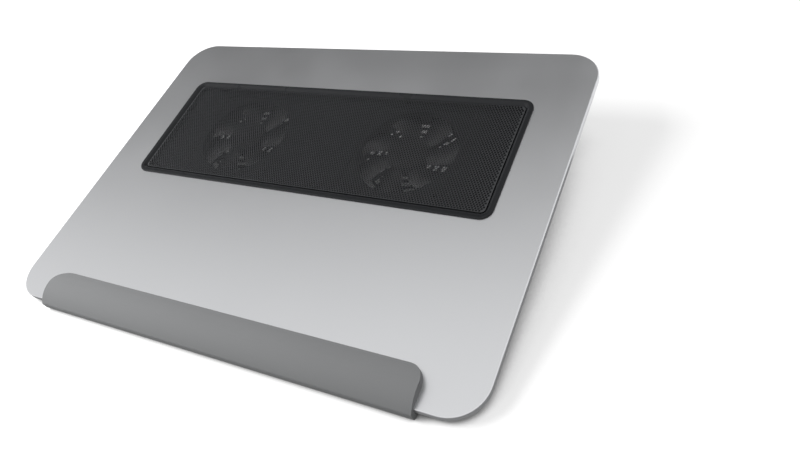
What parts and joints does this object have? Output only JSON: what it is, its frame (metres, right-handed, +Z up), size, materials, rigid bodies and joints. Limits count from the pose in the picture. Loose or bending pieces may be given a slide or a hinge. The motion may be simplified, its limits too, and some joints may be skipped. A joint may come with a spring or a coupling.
{
  "type": "laptop cooling pad",
  "caption": "Sloping aluminium laptop stand with a black mesh over twin fans, a rubber front stop lip and a folding U-shaped rear leg with a rubber foot bar.",
  "frame": {"origin": "on the ground, under the middle of the pad's box", "axes": "+X to the user's right, +Y to the rear, +Z up; the deck slopes down to the front"},
  "size_m": [0.38, 0.2828, 0.0554],
  "materials": {
    "anodised_aluminium": "satin, fine brushed, clear anodised",
    "black_abs": "fine spark-textured",
    "bezel_plastic": "fine satin",
    "black_mesh": "satin black powder coat, perforated",
    "grey_rubber": "matt moulded",
    "fan_plastic": "satin moulded",
    "rotor_plastic": "satin moulded",
    "zinc_casting": "die-cast, tumbled",
    "steel": "turned, nickel plated",
    "black_screw": "black zinc plated",
    "bearing_bronze": "sintered",
    "ferrite": "pressed",
    "coil_lacquer": "lacquered copper wire",
    "solder_mask": "gloss lacquer on glass fibre",
    "nylon": "moulded",
    "lead_jacket": "PVC"
  },
  "bodies": {
    "pad": {"base_panel": "black_abs", "base_screws": "black_screw", "block_screws": "black_screw", "control_board": "solder_mask", "corner_block_left": "black_abs", "corner_block_right": "black_abs", "fan_bearing_left": "bearing_bronze", "fan_bearing_right": "bearing_bronze", "fan_frame_left": "fan_plastic", "fan_frame_right": "fan_plastic", "fan_lead_left": "lead_jacket", "fan_lead_right": "lead_jacket", "fan_screws": "black_screw", "fan_stator_left": "coil_lacquer", "fan_stator_right": "coil_lacquer", "fan_tray": "black_abs", "friction_washers_left": "nylon", "friction_washers_right": "nylon", "front_lip": "grey_rubber", "hinge_pin_left": "steel", "hinge_pin_right": "steel", "mesh_bezel": "bezel_plastic", "mesh_grille": "black_mesh", "power_socket": "steel", "top_plate": "anodised_aluminium", "tray_screws": "black_screw"},
    "leg": {"leg_frame": "anodised_aluminium", "leg_foot_bar": "grey_rubber", "hinge_knuckle_left": "zinc_casting", "hinge_knuckle_right": "zinc_casting", "knuckle_screws": "steel"},
    "rotor_left": {"fan_rotor_left": "rotor_plastic", "fan_shaft_left": "steel", "fan_magnet_left": "ferrite"},
    "rotor_right": {"fan_rotor_right": "rotor_plastic", "fan_shaft_right": "steel", "fan_magnet_right": "ferrite"}
  },
  "joints": [
    {"name": "leg_fold", "type": "hinge", "parent": "pad", "child": "leg", "pos_m": [0, 0.11702, 0.04226], "axis": [-1, 0, 0], "range_deg": [0, 90]},
    {"name": "fan_spin_left", "type": "hinge", "parent": "pad", "child": "rotor_left", "pos_m": [-0.0738, 0.03837, 0.02527], "axis": [0, -0.171, 0.9853], "continuous": true},
    {"name": "fan_spin_right", "type": "hinge", "parent": "pad", "child": "rotor_right", "pos_m": [0.0738, 0.03837, 0.02527], "axis": [0, -0.171, 0.9853], "continuous": true}
  ]
}
